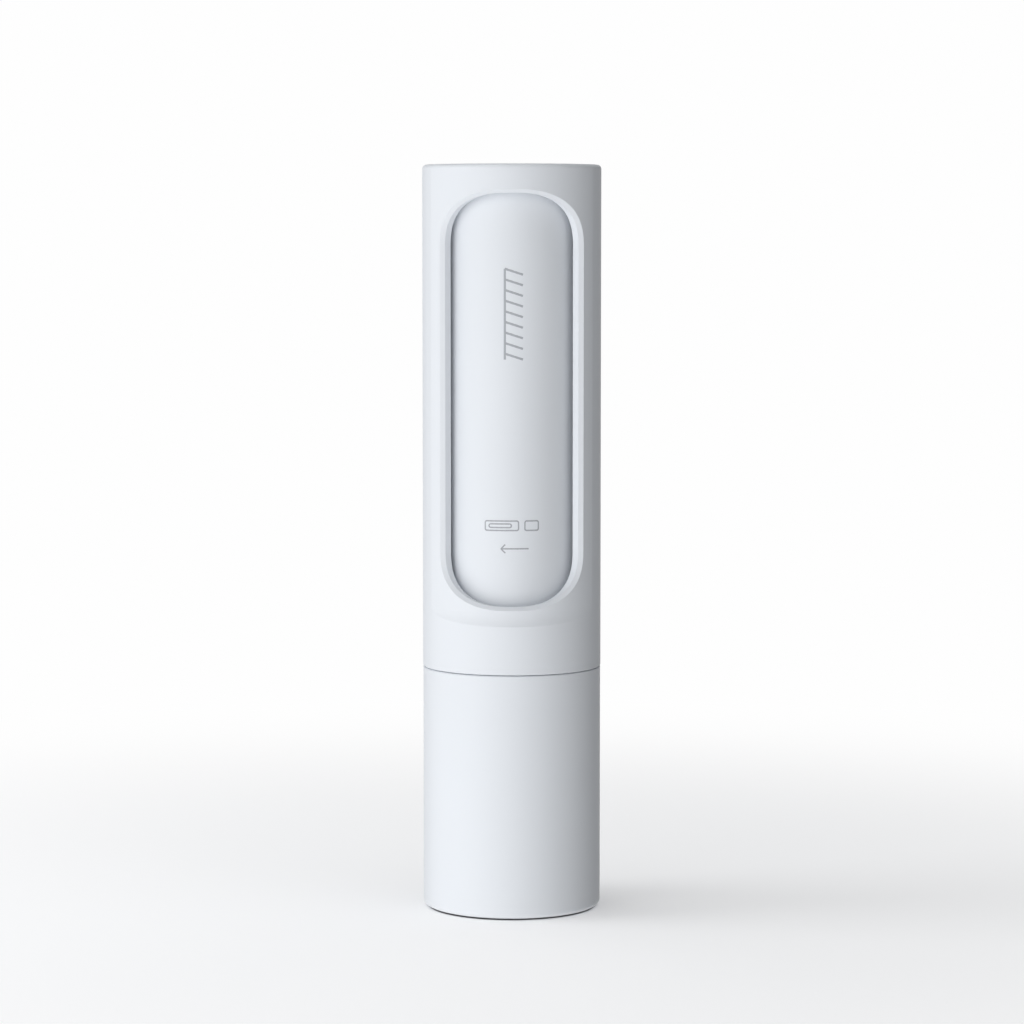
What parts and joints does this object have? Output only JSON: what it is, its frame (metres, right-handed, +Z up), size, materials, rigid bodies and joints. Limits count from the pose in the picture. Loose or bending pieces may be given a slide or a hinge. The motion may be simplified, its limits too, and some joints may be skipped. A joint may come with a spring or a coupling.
{
  "type": "travel lint brush",
  "caption": "Self-cleaning travel lint brush: white cylinder with a windowed case that turns round a drum with a brush pad, plugged into a hollow grip that collects fluff.",
  "frame": {"origin": "centre of the foot pad's lower face, on the table that the brush stands on", "axes": "+Z up along the turning axis, -Y out through the window, +X to the window's right seen from the front"},
  "size_m": [0.04, 0.04, 0.167],
  "materials": {
    "grip_shell": "fine matte moulding",
    "case_shell": "fine matte moulding",
    "cap_shell": "fine matte moulding",
    "base_shell": "matte moulding",
    "foot_rubber": "soft grey rubber",
    "socket_plastic": "matte moulding",
    "frame_plastic": "matte moulding",
    "cover_shell": "fine matte moulding with small printed marks",
    "plate_plastic": "matte moulding",
    "brush_pile": "short slanted pile",
    "plug_plastic": "low-friction acetal",
    "collar_plastic": "low-friction acetal",
    "washer_plastic": "slippery nylon",
    "bush_plastic": "slippery nylon",
    "wiper_fabric": "dense felt",
    "seal_rubber": "black nitrile",
    "screw_steel": "zinc-plated",
    "pin_steel": "ground steel",
    "spring_steel": "spring steel strip"
  },
  "bodies": {
    "grip": {"foot_pad": "foot_rubber", "base_cap": "base_shell", "grip_sleeve": "grip_shell", "socket_ring": "socket_plastic"},
    "drum": {"drum_frame": "frame_plastic", "blank_cover": "cover_shell", "brush_plate": "plate_plastic", "brush_pad": "brush_pile", "plate_screws": "screw_steel", "drive_plug": "plug_plastic", "click_spring": "spring_steel", "hub_screw": "screw_steel", "spindle_pin": "pin_steel", "plug_seal": "seal_rubber"},
    "collar": {"swivel_collar": "collar_plastic", "slip_washer": "washer_plastic", "case_seal": "seal_rubber"},
    "case": {"window_case": "case_shell", "top_cap": "cap_shell", "cap_bush": "bush_plastic", "wiper_right": "wiper_fabric", "wiper_left": "wiper_fabric"}
  },
  "joints": [
    {"name": "grip_pull", "type": "slide", "parent": "grip", "child": "drum", "axis": [0, 0, 1], "range_m": [0, 0.018]},
    {"name": "case_turn", "type": "hinge", "parent": "drum", "child": "collar", "pos_m": [0, 0, 0.06], "axis": [0, 0, -1], "range_deg": [0, 180], "deforming": ["click_spring"]},
    {"name": "case_pull", "type": "slide", "parent": "collar", "child": "case", "axis": [0, 0, 1], "range_m": [0, 0.112]}
  ]
}
